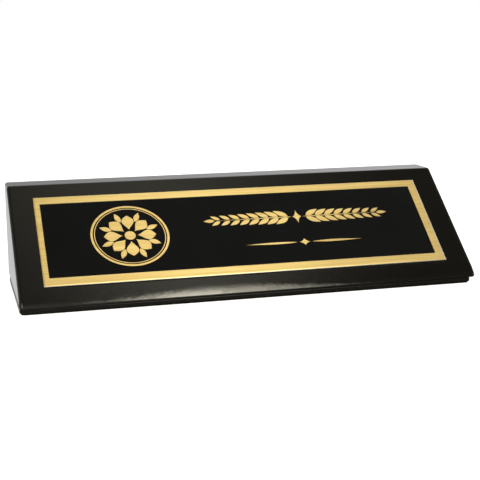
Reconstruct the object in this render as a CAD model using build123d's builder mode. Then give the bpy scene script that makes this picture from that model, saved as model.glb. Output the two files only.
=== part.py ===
# Desk name plate: a lacquered wedge on a set-in base board with a felt underside. A brushed metal
# plate with an enamelled field is stuck to the sloping face with strips of double-sided tape.
# X runs along the wedge, Y from front to back and Z up. The origin is on the desk under the middle
# of the wedge. Lengths are in millimetres.
import os

from build123d import *

os.makedirs("parts", exist_ok=True)

# Wedge body
width = 203.2
depth = 66.7
height = 46.4
ledge_depth = 15.0
nose_height = 2.25
roll_run = 6.0
roll_drop = 1.7
edge_radius = 1.7
end_round_share = 0.88
foot_round_share = 0.85

# Base board and felt pad
base_thickness = 2.3
base_setback = 1.5
base_end_setback = 0.8
base_shift_share = 0.85
base_corner_radius = 2.0
base_top_radius = 1.0
base_foot_radius = 0.3
felt_thickness = 0.7
felt_margin = 0.5

# Name plate and its enamelled field
plate_side_margin = 11.325
plate_top_margin = 8.3
plate_bottom_margin = 7.7
plate_shift = 0.575
plate_thickness = 0.6
bevel_run = 0.5
bevel_drop = 0.25
border_side = 3.275
border_top = 4.25
field_shift = 0.775
enamel_thickness = 0.1

# Tape strips behind the plate
tape_count = 3
tape_width = 12.7
tape_thickness = 0.2
tape_edge_margin = 2.5

# Levels and places that follow from the sizes above
front = -depth / 2
back = depth / 2
base_underside = felt_thickness
wedge_underside = base_underside + base_thickness
ledge_edge = Vector(back - ledge_depth, height)
nose_corner = Vector(front, wedge_underside + nose_height)
slope_line = ledge_edge - nose_corner

# Wedge body. The slope runs straight from the ledge to the nose. There it rolls over into a short upright:
# the roll starts far up the slope and gets tighter, so the corner between the two is its control point.
# The ends are rounded a little less than the long edges, and the arris round the underside less again.
roll_top = nose_corner + slope_line.normalized() * roll_run
roll_foot = nose_corner - Vector(0, roll_drop)
end_radius = end_round_share * edge_radius
foot_radius = foot_round_share * min(end_radius, nose_height - roll_drop)
with BuildPart() as wedge_body:
    with BuildSketch(Plane.YZ) as profile:
        with BuildLine():
            Bezier(roll_top, nose_corner, roll_foot)
            Polyline(
                roll_foot, (front, wedge_underside), (back, wedge_underside), (back, height), ledge_edge, roll_top
            )
        make_face()
        fillet(profile.vertices().group_by(Axis.Y)[-1], radius=edge_radius)
    extrude(amount=width / 2, both=True)
    underside_edges = wedge_body.faces().sort_by(Axis.Z)[0].edges()
    fillet(wedge_body.faces().filter_by(Axis.X).edges() - underside_edges, radius=end_radius)
    fillet(wedge_body.faces().sort_by(Axis.Z)[0].edges(), radius=foot_radius)
wedge_body.part.label = "wedge_body"
export_step(wedge_body.part, "parts/wedge_body.step")

# Base board, glued under the wedge and set in all round, by hand and so a little to the left. Its upper
# edge is well rounded, which leaves a shadow line under the wedge, and its lower edge is eased.
base_length = width - 2 * base_end_setback
base_depth = depth - 2 * base_setback
base_middle = (-base_shift_share * base_end_setback, 0)
with BuildPart() as base_board:
    with BuildSketch(Plane.XY.offset(base_underside)):
        with Locations(base_middle):
            RectangleRounded(base_length, base_depth, base_corner_radius)
    extrude(amount=base_thickness)
    fillet(base_board.faces().sort_by(Axis.Z)[-1].edges(), radius=base_top_radius)
    fillet(base_board.faces().sort_by(Axis.Z)[0].edges(), radius=base_foot_radius)
base_board.part.label = "base_board"
export_step(base_board.part, "parts/base_board.step")

# Felt pad, self-adhesive, cut a little smaller than the base board. Its underside is on the desk.
with BuildPart() as felt_pad:
    with BuildSketch(Plane.XY):
        with Locations(base_middle):
            RectangleRounded(base_length - 2 * felt_margin, base_depth - 2 * felt_margin, base_corner_radius)
    extrude(amount=felt_thickness)
felt_pad.part.label = "felt_pad"
export_step(felt_pad.part, "parts/felt_pad.step")

# The plane of the slope. Its origin is the middle of the ledge's front edge, its X runs along the
# wedge and its Y runs uphill, so everything stuck to the slope lies at negative Y. The plate was stuck on
# by hand, a little left of the middle.
slope_plane = Plane(
    origin=(0, ledge_edge.X, ledge_edge.Y), x_dir=(1, 0, 0), z_dir=(0, -slope_line.Y, slope_line.X)
)
plate_length = width - 2 * plate_side_margin
plate_height = slope_line.length - plate_top_margin - plate_bottom_margin
plate_middle = (-plate_shift, -plate_top_margin - plate_height / 2)
plate_back = tape_thickness
plate_face = plate_back + plate_thickness

# Mounting tape: strips along the plate, spread evenly from its top edge to its bottom edge.
tape_length = plate_length - 2 * tape_edge_margin
tape_pitch = (plate_height - 2 * tape_edge_margin - tape_width) / (tape_count - 1)
with BuildPart() as mounting_tape:
    with BuildSketch(slope_plane):
        with Locations(plate_middle):
            with GridLocations(0, tape_pitch, 1, tape_count):
                Rectangle(tape_length, tape_width)
    extrude(amount=tape_thickness)
mounting_tape.part.label = "mounting_tape"
export_step(mounting_tape.part, "parts/mounting_tape.step")

# Name plate: a guillotined metal sheet with square corners and a fine, flat bevel round its face.
with BuildPart() as name_plate:
    with BuildSketch(slope_plane.offset(plate_back)):
        with Locations(plate_middle):
            Rectangle(plate_length, plate_height)
    extrude(amount=plate_thickness)
    plate_front = name_plate.faces().sort_by(Axis(slope_plane.origin, slope_plane.z_dir))[-1]
    chamfer(plate_front.edges(), length=bevel_run, length2=bevel_drop, reference=plate_front)
name_plate.part.label = "name_plate"
export_step(name_plate.part, "parts/name_plate.step")

# Enamel field: the coat screened on the plate, which leaves the bare metal as a border. The screen was a
# little to the left, so the border is narrower on that side.
field_middle = (plate_middle[0] - field_shift, plate_middle[1])
with BuildPart() as enamel_field:
    with BuildSketch(slope_plane.offset(plate_face)):
        with Locations(field_middle):
            Rectangle(plate_length - 2 * border_side, plate_height - 2 * border_top)
    extrude(amount=enamel_thickness)
enamel_field.part.label = "enamel_field"
export_step(enamel_field.part, "parts/enamel_field.step")
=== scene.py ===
import bpy
import numpy as np
from mathutils import Matrix, Vector


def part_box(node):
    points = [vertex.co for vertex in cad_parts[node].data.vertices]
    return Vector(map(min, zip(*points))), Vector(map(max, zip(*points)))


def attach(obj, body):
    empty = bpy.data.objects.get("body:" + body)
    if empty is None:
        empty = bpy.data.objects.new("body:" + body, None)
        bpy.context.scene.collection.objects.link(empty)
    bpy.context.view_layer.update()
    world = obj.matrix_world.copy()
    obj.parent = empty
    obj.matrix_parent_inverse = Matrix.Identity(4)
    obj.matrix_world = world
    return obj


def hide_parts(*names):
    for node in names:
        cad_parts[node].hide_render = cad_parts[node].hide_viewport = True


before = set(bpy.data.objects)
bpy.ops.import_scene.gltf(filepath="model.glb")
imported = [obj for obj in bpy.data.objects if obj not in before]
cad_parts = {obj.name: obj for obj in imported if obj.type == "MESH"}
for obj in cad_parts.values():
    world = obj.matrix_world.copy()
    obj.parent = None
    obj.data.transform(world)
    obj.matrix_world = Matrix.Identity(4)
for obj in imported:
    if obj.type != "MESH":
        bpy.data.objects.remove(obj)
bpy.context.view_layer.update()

# Wedge body: one block of fibreboard, planed to a wedge. Its edges are eased and its nose is rolled over
# by sanding, then it is sprayed with black lacquer and polished to a mirror.
mm = 0.001
wedge_low, wedge_high = map(np.array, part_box("wedge_body"))
half_width = wedge_high[0]
front, underside = wedge_low[1:]
back, top = wedge_high[1:]
ledge_depth = 15.0 * mm
nose_height = 2.25 * mm
roll_run = 6.0 * mm
roll_drop = 1.7 * mm
edge_radius = 1.7 * mm
end_radius = 1.496 * mm
foot_radius = 0.4675 * mm
least_radius = 0.02 * mm
ledge_edge = np.array([back - ledge_depth, top])
nose_corner = np.array([front, underside + nose_height])
uphill = (ledge_edge - nose_corner) / np.linalg.norm(ledge_edge - nose_corner)


def rounded_corner(before, corner, after, radius, inset, steps=9):
    """Arc in a corner of an outline whose sides are moved in by inset. Its centre is as far from both
    sides as the radius, or as the inset where that is more, and its radius is what the inset leaves."""
    sides = np.stack([corner - before, after - corner])
    sides = sides / np.linalg.norm(sides, axis=1, keepdims=True)
    faces = np.stack([sides[:, 1], -sides[:, 0]], axis=1)
    centre = corner - faces.sum(axis=0) / (1 + faces[0] @ faces[1]) * max(radius, inset)
    begin = np.arctan2(faces[0, 1], faces[0, 0])
    turn = np.arctan2(faces[0, 0] * faces[1, 1] - faces[0, 1] * faces[1, 0], faces[0] @ faces[1])
    angle = begin + turn * np.linspace(0, 1, steps)
    normals = np.stack([np.cos(angle), np.sin(angle)], axis=1)
    return centre + normals * max(radius - inset, least_radius), normals


def rolled_corner(start, corner, finish, inset, steps=28):
    """Parabola from start to finish that leaves both along the lines to the corner, moved in by inset
    along its own normals."""
    along = np.linspace(0, 1, steps)[:, None]
    points = (1 - along) ** 2 * start + 2 * along * (1 - along) * corner + along**2 * finish
    heading = (1 - along) * (corner - start) + along * (finish - corner)
    heading = heading / np.linalg.norm(heading, axis=1, keepdims=True)
    normals = np.stack([heading[:, 1], -heading[:, 0]], axis=1)
    return points - normals * inset, normals


def wedge_outline(inset):
    """The wedge's side view as points and outward normals, through the corners of its underside, back,
    ledge and slope to the rolled nose."""
    front_foot = np.array([front, underside])
    back_foot = np.array([back, underside])
    back_top = np.array([back, top])
    stretches = [
        rounded_corner(nose_corner, front_foot, back_foot, foot_radius, inset),
        rounded_corner(front_foot, back_foot, back_top, foot_radius, inset),
        rounded_corner(back_foot, back_top, ledge_edge, edge_radius, inset),
        rounded_corner(back_top, ledge_edge, nose_corner, edge_radius, inset),
        rolled_corner(nose_corner + uphill * roll_run, nose_corner, nose_corner - (0, roll_drop), inset),
    ]
    return [np.concatenate(part) for part in zip(*stretches)]


def lifted(flat, level):
    """Points in a plane, with the level as their third coordinate."""
    return np.column_stack([flat, np.full(len(flat), level)])


def eased_prism(outline, low, high, low_radius, high_radius, steps=9):
    """A prism over an outline from low to high, with both its end edges rounded by a quarter circle:
    there the outline moves in by radius x (1 - cos) while it moves along by radius x sin. Returns points
    and normals, shaped (ring, point, 3), with the way along the prism last."""
    quarter = np.linspace(0, np.pi / 2, steps)
    swing = np.concatenate([-quarter[::-1], quarter])
    radius = np.repeat([low_radius, high_radius], steps)
    level = np.repeat([low + low_radius, high - high_radius], steps) + radius * np.sin(swing)
    rings = [outline(inset) for inset in radius * (1 - np.cos(swing))]
    points = [lifted(spots, height) for (spots, facing), height in zip(rings, level)]
    normals = [lifted(facing * np.cos(turn), np.sin(turn)) for (spots, facing), turn in zip(rings, swing)]
    return np.stack(points), np.stack(normals)


def skin(name, stacks, normals=None, looped=False):
    """One mesh over stacks of outlines, shaped (stack, outline, point, 3). Quads join each outline to the
    next. A flat face closes both ends of a stack, unless it is looped and its last outline joins its
    first. The mesh is smooth where normals are given, or else flat."""
    index = np.arange(np.prod(stacks.shape[:3])).reshape(stacks.shape[:3])
    ends = [] if looped else index[:, 0, ::-1].tolist() + index[:, -1].tolist()
    if looped:
        index = np.concatenate([index, index[:, :1]], axis=1)
    ahead = np.roll(index, -1, axis=2)
    sides = np.stack([index[:, :-1], ahead[:, :-1], ahead[:, 1:], index[:, 1:]], axis=-1)
    faces = sides.reshape(-1, 4).tolist() + ends
    mesh = bpy.data.meshes.new(name)
    mesh.from_pydata(stacks.reshape(-1, 3).tolist(), [], faces)
    if normals is not None:
        mesh.shade_smooth()
        mesh.normals_split_custom_set_from_vertices(normals.reshape(-1, 3).tolist())
    piece = bpy.data.objects.new(name, mesh)
    bpy.context.collection.objects.link(piece)
    return piece


def mark(piece, name, values, each="POINT"):
    """Keeps one number for each of the piece's points or faces, for its material to read."""
    values = np.ascontiguousarray(values, dtype=np.float32).ravel()
    piece.data.attributes.new(name, "FLOAT", each).data.foreach_set("value", values)


def fit(piece, material, slot, *nodes):
    """Gives a finished piece its material and fixes it to the frame, in place of those solids."""
    piece.data.materials.append(material)
    if nodes:
        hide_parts(*nodes)
    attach(piece, "root")


def add(tree, kind, inputs=None, **settings):
    """A shader node with those settings. A socket given as an input's value is linked, and a number is
    set."""
    made = tree.nodes.new("ShaderNode" + kind)
    for name, value in settings.items():
        setattr(made, name, value)
    for name, value in (inputs or {}).items():
        if isinstance(value, bpy.types.NodeSocket):
            tree.links.new(value, made.inputs[name])
        else:
            made.inputs[name].default_value = value
    return made


def calc(tree, operation, *values):
    """One step of arithmetic on sockets or numbers."""
    return add(tree, "Math", dict(enumerate(values)), operation=operation).outputs["Value"]


def bump(tree, height, depth, strength=1.0, under=None):
    """A normal tilted by a height that rises by the depth, over another normal where one is given."""
    inputs = {"Height": height, "Distance": depth, "Strength": strength}
    if under is not None:
        inputs["Normal"] = under
    return add(tree, "Bump", inputs).outputs["Normal"]


def noise(tree, place, scale, detail=2.0, roughness=0.5):
    """Soft random value at each place."""
    inputs = {"Vector": place, "Scale": scale, "Detail": detail, "Roughness": roughness}
    return add(tree, "TexNoise", inputs).outputs["Fac"]


def ramp(tree, value, start, finish, low=0.0, high=1.0):
    """Runs smoothly from low to high while the value goes from start to finish."""
    inputs = {"Value": value, "From Min": start, "From Max": finish, "To Min": low, "To Max": high}
    return add(tree, "MapRange", inputs, interpolation_type="SMOOTHSTEP").outputs["Result"]


def tint(tree, factor, low, high):
    """A colour between low and high, mixed by the factor. Either one may be another node's colour."""
    ends = [end if isinstance(end, bpy.types.NodeSocket) else (*end, 1) for end in (low, high)]
    inputs = {"Factor": factor, 6: ends[0], 7: ends[1]}
    return add(tree, "Mix", inputs, data_type="RGBA", clamp_factor=True).outputs[2]


def finish_of(name):
    """A new material with its node tree, its Principled shader and the piece's Object coordinates."""
    material = bpy.data.materials.new(name)
    material.use_nodes = True
    tree = material.node_tree
    tree.nodes.clear()
    shader = add(tree, "BsdfPrincipled")
    add(tree, "OutputMaterial", {"Surface": shader.outputs["BSDF"]})
    return material, tree, shader, add(tree, "TexCoord").outputs["Object"]


def use_marks():
    """Node group for marks of use. Haze is a slow cloud from wiping. Dust is 1 in small spots round
    random points, kept for a few of the points only."""
    group = bpy.data.node_groups.new("use_marks", "ShaderNodeTree")
    group.interface.new_socket("Place", in_out="INPUT", socket_type="NodeSocketVector")
    group.interface.new_socket("Cloud Scale", in_out="INPUT", socket_type="NodeSocketFloat")
    group.interface.new_socket("Speck Scale", in_out="INPUT", socket_type="NodeSocketFloat")
    group.interface.new_socket("Haze", in_out="OUTPUT", socket_type="NodeSocketFloat")
    group.interface.new_socket("Dust", in_out="OUTPUT", socket_type="NodeSocketFloat")
    given = group.nodes.new("NodeGroupInput").outputs
    points = add(group, "TexVoronoi", {"Vector": given["Place"], "Scale": given["Speck Scale"]}).outputs
    spots = ramp(group, points["Distance"], 0.05, 0.16, 1.0, 0.0)
    chance = add(group, "SeparateColor", {"Color": points["Color"]}).outputs["Red"]
    kept = ramp(group, chance, 0.8, 0.85)
    taken = group.nodes.new("NodeGroupOutput").inputs
    group.links.new(noise(group, given["Place"], given["Cloud Scale"], 6.0, 0.7), taken["Haze"])
    group.links.new(calc(group, "MULTIPLY", spots, kept), taken["Dust"])
    return group


marks_group = use_marks()


def marks(tree, place, cloud_scale, speck_scale):
    """The haze and the dust of a finish."""
    inputs = {"Place": place, "Cloud Scale": cloud_scale, "Speck Scale": speck_scale}
    both = add(tree, "Group", inputs, node_tree=marks_group).outputs
    return both["Haze"], both["Dust"]


def lacquer():
    """Black lacquer: waves left by polishing along the wedge, fine orange peel, a thin haze in the gloss
    and dust. Sanding left the rolled nose a little uneven, which breaks up the edge of what it mirrors.
    The arrises are rubbed duller, with small chips down to the grey primer."""
    material, tree, shader, place = finish_of("black_lacquer")
    haze, dust = marks(tree, place, 25.0, 900.0)
    rubbed, chips = marks(tree, place, 180.0, 1500.0)
    arris = add(tree, "Attribute", attribute_name="arris").outputs["Fac"]
    drawn = add(tree, "Mapping", {"Vector": place, "Scale": (0.22, 1, 1)}).outputs["Vector"]
    wavy = bump(tree, noise(tree, drawn, 260.0), 0.014 * mm)
    inward = add(tree, "SeparateXYZ", {"Vector": place}).outputs["Y"]
    rolled = ramp(tree, inward, front + 3 * mm, front + 8.5 * mm, 1.0, 0.0)
    streaks = add(tree, "Mapping", {"Vector": place, "Scale": (0.35, 1, 1)}).outputs["Vector"]
    uneven = calc(tree, "SUBTRACT", noise(tree, streaks, 360.0), 0.5)
    sanded = bump(tree, calc(tree, "MULTIPLY", uneven, rolled), 0.058 * mm, under=wavy)
    peeled = bump(tree, noise(tree, place, 420.0), 0.002 * mm, under=sanded)
    black = tint(tree, haze, (0.0008, 0.0008, 0.0007), (0.0020, 0.0019, 0.0017))
    dusty = tint(tree, dust, black, (0.03, 0.029, 0.027))
    chipped = calc(tree, "MULTIPLY", chips, arris)
    tree.links.new(tint(tree, chipped, dusty, (0.06, 0.058, 0.054)), shader.inputs["Base Color"])
    worn = calc(tree, "MULTIPLY", ramp(tree, rubbed, 0.45, 0.7), arris)
    gloss = ramp(tree, haze, 0.3, 0.75, 0.02, 0.045)
    tree.links.new(calc(tree, "MULTIPLY_ADD", worn, 0.09, gloss), shader.inputs["Roughness"])
    tree.links.new(peeled, shader.inputs["Normal"])
    return material


def arrises(normals, flats):
    """How much of an arris each point is: 0 where its normal is that of a flat face, and 1 where it is 45
    degrees or more away from all of them."""
    nearest = (normals @ flats.T).max(axis=-1)
    return np.clip((1 - nearest) / (1 - np.sqrt(0.5)), 0, 1)


wedge_points, wedge_normals = eased_prism(wedge_outline, -half_width, half_width, end_radius, end_radius)
wedge = skin("lacquered_wedge", wedge_points[None, ..., [2, 0, 1]], wedge_normals[..., [2, 0, 1]])
wedge_flats = np.concatenate([np.eye(3), -np.eye(3), [(0, -uphill[1], uphill[0])]])
mark(wedge, "arris", arrises(wedge_normals[..., [2, 0, 1]], wedge_flats))
fit(wedge, lacquer(), "black_lacquer", "wedge_body")

# Base board: a thin fibreboard sheet with rounded corners. It is painted satin black and glued under the
# wedge, set in all round. Its upper edge is well rounded, which leaves a shadow line.
board_low, board_high = map(np.array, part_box("base_board"))
board_middle = (board_low + board_high) / 2
board_half = (board_high - board_low) / 2
board_corner = 2.0 * mm
board_top_edge = 1.0 * mm
board_foot_edge = 0.3 * mm


def rectangle(half_length, half_depth, corner_radius, middle=(0, 0)):
    """The outline of a rectangle with rounded corners, as a function of how far it is moved in."""
    corners = np.array([(-1, -1), (1, -1), (1, 1), (-1, 1)]) * (half_length, half_depth) + middle
    threes = list(zip(np.roll(corners, 1, axis=0), corners, np.roll(corners, -1, axis=0)))

    def outline(inset):
        """Arcs in the four corners, which straight sides join."""
        arcs = [rounded_corner(*three, corner_radius, inset) for three in threes]
        return [np.concatenate(part) for part in zip(*arcs)]

    return outline


def base_paint():
    """Satin black paint over fibreboard: a fine grain of fibres, an uneven gloss and a little dust."""
    material, tree, shader, place = finish_of("satin_base_paint")
    haze, dust = marks(tree, place, 60.0, 700.0)
    fibres = bump(tree, noise(tree, place, 900.0, 4.0), 0.02 * mm, 0.6)
    black = tint(tree, haze, (0.0030, 0.0028, 0.0026), (0.0052, 0.0048, 0.0045))
    tree.links.new(tint(tree, dust, black, (0.02, 0.019, 0.018)), shader.inputs["Base Color"])
    tree.links.new(ramp(tree, haze, 0.3, 0.7, 0.2, 0.28), shader.inputs["Roughness"])
    tree.links.new(fibres, shader.inputs["Normal"])
    shader.inputs["Specular IOR Level"].default_value = 0.12
    return material


board_outline = rectangle(*board_half[:2], board_corner, board_middle[:2])
board_points, board_normals = eased_prism(
    board_outline, board_low[2], board_high[2], board_foot_edge, board_top_edge
)
board = skin("painted_base_board", board_points[None], board_normals)
fit(board, base_paint(), "base_paint", "base_board")

# Felt pad: a sheet of pressed wool felt, cut with shears and stuck under the base board. Its cut edge is
# soft and a little ragged.
felt_low, felt_high = map(np.array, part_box("felt_pad"))
felt_middle = (felt_low + felt_high) / 2
felt_half = (felt_high - felt_low) / 2
felt_corner = 2.0 * mm
felt_edge = 0.3 * mm
felt_rag = 0.06 * mm
felt_points_round = 900
felt_seed = 11


def ragged(outline, count, depth, seed):
    """An outline sampled evenly all round, with each point drawn in by a random share of depth, smoothed
    over its neighbours."""
    chance = np.random.default_rng(seed).uniform(0, depth, count)
    drawn = (np.roll(chance, 1) + 2 * chance + np.roll(chance, -1)) / 4

    def sampled(inset):
        """Points at even steps along the outline, drawn in."""
        points, normals = outline(inset)
        points = np.concatenate([points, points[:1]])
        normals = np.concatenate([normals, normals[:1]])
        way = np.concatenate([[0], np.cumsum(np.linalg.norm(np.diff(points, axis=0), axis=1))])
        spots = np.linspace(0, way[-1], count, endpoint=False)
        even = np.stack([np.interp(spots, way, points[:, k]) for k in (0, 1)], axis=1)
        facing = np.stack([np.interp(spots, way, normals[:, k]) for k in (0, 1)], axis=1)
        return even - facing * drawn[:, None], facing

    return sampled


def felt():
    """Pressed wool felt: matted fibres in all directions, with a faint sheen. Its underside shows the
    felt's own grey, and strands show there, along the lines where a slow noise crosses its middle value.
    Above the underside the felt is painted near black, much darker than the felt itself, as shade where
    the pad meets the desk."""
    material, tree, shader, place = finish_of("pressed_felt")
    mat = noise(tree, place, 1400.0, 6.0, 0.75)
    tufts = noise(tree, place, 260.0, 3.0)
    # painted shade: this near-black, darker than real felt, colours the pad's sides and top to stand for
    # the shade at the desk
    black = tint(tree, tufts, (0.0008, 0.0008, 0.0008), (0.0028, 0.0027, 0.0026))
    level = add(tree, "SeparateXYZ", {"Vector": place}).outputs["Z"]
    away = calc(tree, "ABSOLUTE", calc(tree, "SUBTRACT", noise(tree, place, 420.0, 3.0), 0.5))
    grey = tint(tree, mat, (0.008, 0.008, 0.008), (0.030, 0.029, 0.027))
    stranded = tint(tree, ramp(tree, away, 0.004, 0.02, 0.8, 0.0), grey, (0.075, 0.073, 0.068))
    # painted shade: the felt's own grey is kept only on the underside, and the painted near-black shade
    # covers the rest
    felt_with_painted_side_shade = tint(tree, ramp(tree, level, 0.01 * mm, 0.1 * mm, 1.0, 0.0), black, stranded)
    tree.links.new(felt_with_painted_side_shade, shader.inputs["Base Color"])
    tree.links.new(ramp(tree, mat, 0.3, 0.7, 0.85, 1.0), shader.inputs["Roughness"])
    tree.links.new(bump(tree, mat, 0.25 * mm), shader.inputs["Normal"])
    shader.inputs["Specular IOR Level"].default_value = 0.02
    shader.inputs["Sheen Weight"].default_value = 0.004
    return material


felt_cut = rectangle(*felt_half[:2], felt_corner, felt_middle[:2])
felt_outline = ragged(felt_cut, felt_points_round, felt_rag, felt_seed)
felt_points, felt_normals = eased_prism(felt_outline, felt_low[2], felt_high[2], felt_edge, felt_edge, 4)
pad = skin("felt_sheet", felt_points[None], felt_normals)
fit(pad, felt(), "felt", "felt_pad")

# Mounting tape: three strips of thin double-sided film, cut from a roll. They lie along the slope, and
# the plate is pressed on them.


def tape_film():
    """Pale adhesive film: a faint mottle where it has gripped."""
    material, tree, shader, place = finish_of("adhesive_film")
    grip = noise(tree, place, 350.0, 4.0)
    tree.links.new(tint(tree, grip, (0.62, 0.61, 0.56), (0.84, 0.83, 0.8)), shader.inputs["Base Color"])
    tree.links.new(ramp(tree, grip, 0.35, 0.65, 0.3, 0.6), shader.inputs["Roughness"])
    tree.links.new(bump(tree, grip, 0.02 * mm), shader.inputs["Normal"])
    return material


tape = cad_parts["mounting_tape"]
tape.data.materials.clear()
tape.data.materials.append(tape_film())

# Name plate: a sheet of gold-coloured anodised metal, brushed along its length, with a fine bevel round
# its face. It was cut to size at its lower edge and at its right end, which show bare metal. The lower
# cut is painted dark grey as shade, and the right end is painted pale as a highlight. Tape holds it.
plate_left, plate_right = [corner[0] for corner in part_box("name_plate")]
plate_half_length = (plate_right - plate_left) / 2
plate_top_margin = 8.3 * mm
plate_bottom_margin = 7.7 * mm
tape_thickness = 0.2 * mm
plate_thickness = 0.6 * mm
bevel_run = 0.5 * mm
bevel_drop = 0.25 * mm
plate_back_edge = 0.05 * mm
plate_corner = 0.15 * mm
slope_length = np.linalg.norm(ledge_edge - nose_corner)
slope_angle = np.arctan2(uphill[1], uphill[0])
plate_half_height = (slope_length - plate_top_margin - plate_bottom_margin) / 2
plate_middle = ((plate_left + plate_right) / 2, -plate_top_margin - plate_half_height)
plate_face = tape_thickness + plate_thickness


def on_slope(points):
    """Places or directions given along X, uphill and out of the slope, turned into the frame's axes."""
    out_of = np.array([-uphill[1], uphill[0]])
    turned = points[..., 1:2] * uphill + points[..., 2:3] * out_of
    return np.concatenate([points[..., :1], turned], axis=-1)


def from_ledge(points):
    """Places measured from the middle of the ledge's front edge."""
    return on_slope(points) + (0, *ledge_edge)


def lay_brush(piece):
    """A UV map whose U runs uphill, across the brush lines, for the metal to know their direction."""
    mesh = piece.data
    places = np.empty(len(mesh.vertices) * 3, dtype=np.float32)
    mesh.vertices.foreach_get("co", places)
    corners = np.empty(len(mesh.loops), dtype=np.int32)
    mesh.loops.foreach_get("vertex_index", corners)
    places = places.reshape(-1, 3)[corners]
    flat = np.stack([places[:, 1:] @ uphill, places[:, 0]], axis=1).astype(np.float32)
    mesh.uv_layers.new(name="brush").data.foreach_set("uv", flat.ravel())


def brushed_gold():
    """Brushed metal: lines of two widths along the length, over one gold tone. Where it is cut it is bare
    metal, painted dark grey as shade at 0.5, and painted pale and less metallic as a highlight at 1."""
    material, tree, shader, place = finish_of("brushed_gold")
    flat = add(tree, "Mapping", {"Vector": place, "Rotation": (-slope_angle, 0, 0)}).outputs["Vector"]

    def lines(length, width, detail):
        """Soft random lines of about that length and width."""
        stretched = add(tree, "Mapping", {"Vector": flat, "Scale": (1 / length, 1 / width, 1 / length)})
        return noise(tree, stretched.outputs["Vector"], 1.0, detail, 0.6)

    fine = lines(25 * mm, 0.22 * mm, 3.0)
    broad = lines(70 * mm, 1.1 * mm, 2.0)
    both = add(tree, "Mix", {"Factor": 0.45, "A": fine, "B": broad}).outputs["Result"]
    tone = tint(tree, ramp(tree, both, 0.3, 0.7), (0.635, 0.450, 0.169), (0.795, 0.645, 0.295))
    cut = add(tree, "Attribute", attribute_name="cut").outputs["Fac"]
    bare = ramp(tree, cut, 0.0, 0.5)
    # painted light: the lower cut is painted dark grey as shade, and the right cut is painted pale, less
    # metallic, as a highlight
    edge = tint(tree, ramp(tree, cut, 0.5, 1.0), (0.28, 0.276, 0.265), (0.88, 0.89, 0.91))
    tree.links.new(tint(tree, bare, tone, edge), shader.inputs["Base Color"])
    grain = ramp(tree, both, 0.25, 0.75, 0.40, 0.50)
    sheared = add(tree, "Mix", {"Factor": bare, "A": grain, "B": ramp(tree, fine, 0.3, 0.7, 0.32, 0.42)})
    tree.links.new(sheared.outputs["Result"], shader.inputs["Roughness"])
    tree.links.new(bump(tree, fine, 0.004 * mm, 0.5), shader.inputs["Normal"])
    tree.links.new(ramp(tree, cut, 0.5, 1.0, 1.0, 0.3), shader.inputs["Metallic"])
    shader.inputs["Anisotropic"].default_value = 0.78
    across = add(tree, "Tangent", direction_type="UV_MAP", uv_map="brush")
    tree.links.new(across.outputs["Tangent"], shader.inputs["Tangent"])
    return material


def stepped(outline, insets, levels):
    """The outline moved in by each inset and lifted to the level that goes with it, shaped
    (ring, point, 3)."""
    return np.stack([lifted(outline(inset)[0], level) for inset, level in zip(insets, levels)])


plate_outline = rectangle(plate_half_length, plate_half_height, plate_corner, plate_middle)
plate_insets = (plate_back_edge, 0, 0, bevel_run / 2, bevel_run)
plate_drops = (plate_thickness, plate_thickness - plate_back_edge, bevel_drop, bevel_drop / 2, 0)
plate_points = stepped(plate_outline, plate_insets, plate_face - np.array(plate_drops))
plate = skin("brushed_name_plate", from_ledge(plate_points)[None])
side_facing = plate_outline(0)[1] + np.roll(plate_outline(0)[1], -1, axis=0)
# painted light: cut faces are marked by the way they face, 1 for the right end's painted highlight and
# 0.5 for the lower edge's painted shade
cut_sides_painted_light = np.where(side_facing[:, 0] > 0.8, 1.0, np.where(side_facing[:, 1] < -0.8, 0.5, 0.0))
mark(plate, "cut", np.concatenate([np.tile(cut_sides_painted_light, 3), np.zeros(len(cut_sides_painted_light) + 2)]), "FACE")
lay_brush(plate)
gold = brushed_gold()
fit(plate, gold, "brushed_gold", "name_plate")

# Enamel field: a coat of black enamel, screened on the plate and baked. It leaves the metal bare as a
# border.


def enamel():
    """Screened satin enamel: a very fine pebble left by the mesh, slow changes in its gloss and a little
    dust."""
    material, tree, shader, place = finish_of("black_enamel")
    haze, dust = marks(tree, place, 40.0, 800.0)
    pebble = bump(tree, noise(tree, place, 2200.0), 0.004 * mm)
    black = tint(tree, haze, (0.0013, 0.0015, 0.0023), (0.0022, 0.0025, 0.0035))
    tree.links.new(tint(tree, dust, black, (0.012, 0.012, 0.012)), shader.inputs["Base Color"])
    tree.links.new(ramp(tree, haze, 0.3, 0.7, 0.34, 0.42), shader.inputs["Roughness"])
    tree.links.new(pebble, shader.inputs["Normal"])
    shader.inputs["Specular IOR Level"].default_value = 0.085
    return material


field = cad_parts["enamel_field"]
field.data.materials.clear()
field.data.materials.append(enamel())

# Foil ornament: a rosette in two rings, a laurel sprig and a swelled rule, hot-stamped on the enamel in
# gold foil, which takes the finish of the metal under it.
field_left, field_right = [corner[0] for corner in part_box("enamel_field")]
enamel_face = plate_face + 0.1 * mm
foil_sunk = 0.01 * mm
foil_raised = 0.05 * mm
foil_points = 64
rosette_middle = (-50.0 * mm, 0.0)
petal_length, petal_width, petal_start = 8.2 * mm, 5.4 * mm, 3.3 * mm
tip_length, tip_width, tip_start = 5.6 * mm, 2.4 * mm, 8.3 * mm
eye_radius = 2.4 * mm
ring_radius, ring_width = 17.2 * mm, 0.95 * mm
inner_ring_radius, inner_ring_width = 15.65 * mm, 0.35 * mm
sprig_middle = (27.5 * mm, 5.6 * mm)
sprig_half = 43.0 * mm
sprig_pairs = 8
blade_length, blade_width = 7.2 * mm, 2.6 * mm
blade_turn = 0.5
blade_gap = 0.5 * mm
last_length, last_width = 5.0 * mm, 1.8 * mm
stem_width = 0.4 * mm
sprig_lozenge = (4.4 * mm, 7.6 * mm)
rule_middle = (27.5 * mm, -9.6 * mm)
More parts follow.
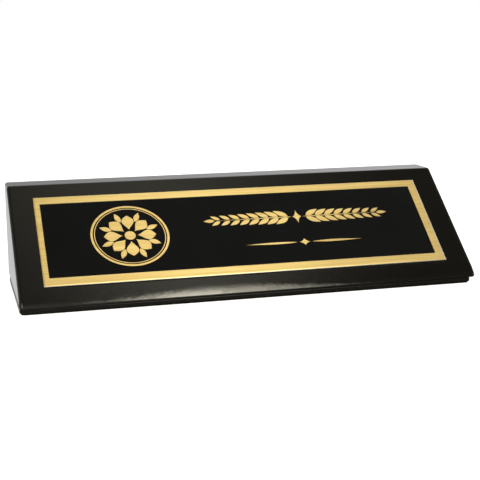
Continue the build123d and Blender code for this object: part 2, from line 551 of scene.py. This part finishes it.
rule_half, rule_start, rule_width = 27.0 * mm, 3.6 * mm, 1.1 * mm
rule_lozenge = (5.4 * mm, 4.2 * mm)


def leaf(length, width, fullest=0.8):
    """A leaf from its stalk to its tip. Half its width is a sine of the way along, raised to fullest."""
    along = np.linspace(0, 1, foil_points // 2 + 1)
    half = width / 2 * np.sin(np.pi * along**fullest)
    lower = np.stack([length * along, -half], axis=1)
    return np.concatenate([lower, (lower * (1, -1))[-2:0:-1]])


def disc(radius):
    """A full circle."""
    angle = np.linspace(0, 2 * np.pi, foil_points, endpoint=False)
    return radius * np.stack([np.cos(angle), np.sin(angle)], axis=1)


def lozenge(length, width):
    """A four-cornered shape with hollow sides: each half axis times the cube of the cosine or sine."""
    return np.array([length, width]) / 2 * disc(1.0) ** 3


def placed(shape, angles, places, shares=1.0):
    """Copies of a shape, each scaled by its share, turned by its angle and moved to its place."""
    angles = np.asarray(angles, dtype=float)
    turns = np.stack([np.cos(angles), np.sin(angles), -np.sin(angles), np.cos(angles)], axis=1)
    copies = np.einsum("pi,nij->npj", shape, turns.reshape(-1, 2, 2))
    return copies * np.reshape(shares, (-1, 1, 1)) + np.asarray(places)[:, None]


def ray(angles, radius):
    """Places on a circle, at those angles."""
    return radius * np.stack([np.cos(angles), np.sin(angles)], axis=1)


def rosette():
    """Eight round petals about a disc, with the tip of a pointed leaf between each two."""
    eighths = np.arange(8) * np.pi / 4
    halfway = eighths + np.pi / 8
    petals = placed(leaf(petal_length, petal_width, 1.35), eighths, ray(eighths, petal_start))
    tips = placed(leaf(tip_length, tip_width, 0.9), halfway, ray(halfway, tip_start))
    return np.concatenate([petals, tips, disc(eye_radius)[None]])


def sprig():
    """Leaves in pairs along both halves of a stem, each pair smaller than the one before, a leaf at each
    end and a lozenge where the halves meet."""
    steps = np.linspace(0, 1, sprig_pairs)
    out, up, pair = [grid.ravel() for grid in np.meshgrid((1, -1), (1, -1), steps)]
    angles = np.where(out > 0, up * blade_turn, np.pi - up * blade_turn)
    stalks = np.stack([out * sprig_half * (0.1 + 0.74 * pair), up * blade_gap], axis=1)
    blades = placed(leaf(blade_length, blade_width), angles, stalks, 1 - 0.35 * pair)
    ends = np.array([(1, 0), (-1, 0)])
    last = placed(leaf(last_length, last_width), (0, np.pi), ends * sprig_half * 0.9)
    stem = placed(leaf(sprig_half * 0.84, stem_width, 0.5), (0, np.pi), ends * sprig_half * 0.06)
    return np.concatenate([blades, last, stem, lozenge(*sprig_lozenge)[None]])


def rule():
    """Two long spindles either side of a lozenge."""
    ends = np.array([(1, 0), (-1, 0)])
    bars = placed(leaf(rule_half - rule_start, rule_width, 0.75), (0, np.pi), ends * rule_start)
    return np.concatenate([bars, lozenge(*rule_lozenge)[None]])


def on_enamel(flat, level):
    """Shapes measured from the middle of the field, laid on the slope at a level over it."""
    flat = flat + ((field_left + field_right) / 2, plate_middle[1])
    return from_ledge(np.concatenate([flat, np.full((*flat.shape[:-1], 1), level)], axis=-1))


def foil(name, shapes, middle):
    """Foil shapes about their middle, each a thin flat slab whose underside is sunk into the enamel."""
    levels = (enamel_face - foil_sunk, enamel_face + foil_raised)
    piece = skin(name, np.stack([on_enamel(shapes + middle, level) for level in levels], axis=1))
    lay_brush(piece)
    fit(piece, gold, "brushed_gold")


def foil_rings(name, radii, widths, middle):
    """Foil rings about their middle: for each, the four corners of its section carried round a circle."""
    radii, widths = np.array(radii), np.array(widths)
    inner = radii - widths
    edges = [(radii, foil_raised), (radii, -foil_sunk), (inner, -foil_sunk), (inner, foil_raised)]
    circles = [np.multiply.outer(reach, disc(1.0)) + middle for reach, level in edges]
    corners = [on_enamel(circle, enamel_face + level) for circle, (reach, level) in zip(circles, edges)]
    piece = skin(name, np.stack(corners, axis=2), looped=True)
    lay_brush(piece)
    fit(piece, gold, "brushed_gold")


foil("foil_rosette", rosette(), rosette_middle)
foil_rings("foil_rings", (ring_radius, inner_ring_radius), (ring_width, inner_ring_width), rosette_middle)
foil("foil_sprig", sprig(), sprig_middle)
foil("foil_rule", rule(), rule_middle)

# Studio: a white floor, and a room whose light comes from a tall soft window in front, a dim ceiling and
# pale walls behind. The lacquer and the metal mirror it.
floor_reach = 4.0
floor_mesh = bpy.data.meshes.new("floor")
floor_corners = np.array([(-1, -1, 0), (1, -1, 0), (1, 1, 0), (-1, 1, 0)]) * floor_reach
floor_mesh.from_pydata(floor_corners.tolist(), [], [(0, 1, 2, 3)])
floor = bpy.data.objects.new("floor", floor_mesh)
bpy.context.collection.objects.link(floor)
floor_paint, _, floor_shader, _ = finish_of("white_floor")
floor_shader.inputs["Base Color"].default_value = (0.7, 0.7, 0.7, 1)
floor_shader.inputs["Roughness"].default_value = 0.8
floor_shader.inputs["Specular IOR Level"].default_value = 0.0
floor_shader.inputs["Emission Color"].default_value = (1, 1, 1, 1)
floor_shader.inputs["Emission Strength"].default_value = 0.75
floor.data.materials.append(floor_paint)
floor.visible_glossy = False


def bell(tree, value, middle, spread):
    """Bell curve: e to the power of minus half the square of the distance from the middle over the
    spread."""
    away = calc(tree, "SUBTRACT", value, middle)
    square = calc(tree, "MULTIPLY", away, away)
    return calc(tree, "EXPONENT", calc(tree, "MULTIPLY", square, -0.5 / spread**2))


def room():
    """The room as a light that changes with direction. In front is a tall window of two panes, wider the
    lower one looks, with a brighter core. Its glow reaches over the ceiling. The front wall and the
    ceiling get darker to the right. The neutral walls behind get brighter, most of all high up, and are
    dark far to the right. Below them a desk gets darker to the right, and pale again far to the right.
    For views from the sides, a pale screen stands at the front left, and at the far right a low strip
    with a faint wash of light over it. The camera itself sees plain white."""
    world = bpy.data.worlds.new("studio")
    world.use_nodes = True
    tree = world.node_tree
    tree.nodes.clear()
    axes = add(tree, "SeparateXYZ", {"Vector": add(tree, "TexCoord").outputs["Generated"]}).outputs
    across, backward, upward = axes["X"], axes["Y"], axes["Z"]

    def plus(first, second):
        """The sum of two values."""
        return calc(tree, "ADD", first, second)

    def times(first, second):
        """The product of two values."""
        return calc(tree, "MULTIPLY", first, second)

    def between(value, start, finish, low, high):
        """Runs smoothly from low to high, either of which may be a socket, while the value goes from
        start to finish."""
        factor = ramp(tree, value, start, finish)
        return add(tree, "Mix", {"Factor": factor, "A": low, "B": high}).outputs["Result"]

    reach = plus(times(backward, -0.12), 0.023)
    aside = calc(tree, "ABSOLUTE", calc(tree, "SUBTRACT", across, 0.239))
    pane = ramp(tree, calc(tree, "DIVIDE", aside, reach), 0.29, 1.05, 1.0, 0.0)
    pane = times(pane, ramp(tree, backward, -0.54, -0.09, 5.6, 0.0))
    bar = calc(tree, "SUBTRACT", 1.0, times(bell(tree, across, 0.2476, 0.009), 0.3))
    core = times(bell(tree, across, 0.219, 0.03), ramp(tree, backward, -1.0, -0.18, 8.7, 0.0))
    window = times(plus(times(pane, bar), core), ramp(tree, upward, -0.22, 0.17))
    glow = times(bell(tree, across, 0.211, 0.067), ramp(tree, backward, -0.03, 0.1, 0.9, 0.0))
    haze = times(bell(tree, across, 0.169, 0.093), ramp(tree, backward, -0.03, 0.1, 0.0, 0.49))
    ceiling = plus(ramp(tree, across, 0.0, 0.42, 0.205, 0.136), plus(glow, haze))
    lost = ramp(tree, across, 0.5, 0.75, 1.0, 0.35)
    wall = times(ramp(tree, across, 0.0, 0.45, 0.46, 0.81), lost)
    high = times(ramp(tree, across, 0.1, 0.45, 0.0, 1.3), times(lost, ramp(tree, upward, 0.25, 0.5)))
    high = times(high, ramp(tree, backward, 0.15, 0.5))
    desk = plus(ramp(tree, across, 0.0, 0.3, 0.74, 0.12), ramp(tree, across, 0.55, 0.85, 0.0, 0.6))
    behind = between(upward, -0.08, 0.06, desk, wall)
    walls = between(backward, -0.3, 0.3, ramp(tree, across, 0.05, 0.42, 0.64, 0.193), behind)
    screen = times(bell(tree, across, -0.45, 0.13), ramp(tree, backward, -0.6, -0.28, 5.0, 0.0))
    screen = times(screen, ramp(tree, upward, -0.1, 0.3))
    low = plus(backward, times(upward, 0.8))
    strip = times(ramp(tree, low, -0.13, 0.04, 2.6, 0.0), ramp(tree, upward, -0.02, 0.12, 0.12, 1.0))
    strip = times(strip, ramp(tree, backward, -0.68, -0.4, 0.1, 1.0))
    wash = ramp(tree, backward, -0.2, 0.1, 0.3, 0.0)
    screens = plus(screen, times(ramp(tree, across, 0.5, 0.85), plus(strip, wash)))
    whole = plus(between(upward, 0.5, 0.9, walls, ceiling), plus(window, plus(high, screens)))
    seen = add(tree, "LightPath").outputs["Is Camera Ray"]
    shown = add(tree, "Mix", {"Factor": seen, "A": whole, "B": 1.0}).outputs["Result"]
    cool = calc(tree, "MAXIMUM", ramp(tree, backward, 0.2, 0.6), seen)
    colour = tint(tree, cool, (1.0, 0.945, 0.77), (1, 1, 1))
    light = add(tree, "Background", {"Color": colour, "Strength": shown}).outputs["Background"]
    add(tree, "OutputWorld", {"Surface": light})
    return world


bpy.context.scene.world = room()

# Camera: where the photograph was taken from, with the same angle of view.
camera_place = Vector((-128.78, -476.46, 117.52)) * mm
camera_aim = Vector((1.464, 4.26, 18.80)) * mm
camera_roll = np.radians(-0.441)
photo_width = 480
focal_pixels = 1106.43
camera = bpy.data.objects.new("camera", bpy.data.cameras.new("camera"))
bpy.context.collection.objects.link(camera)
camera.data.lens = camera.data.sensor_width * focal_pixels / photo_width
facing = (camera_aim - camera_place).to_track_quat("-Z", "Y").to_matrix().to_4x4()
camera.matrix_world = Matrix.Translation(camera_place) @ facing @ Matrix.Rotation(camera_roll, 4, "Z")
bpy.context.scene.camera = camera
bpy.context.scene.view_settings.view_transform = "Standard"
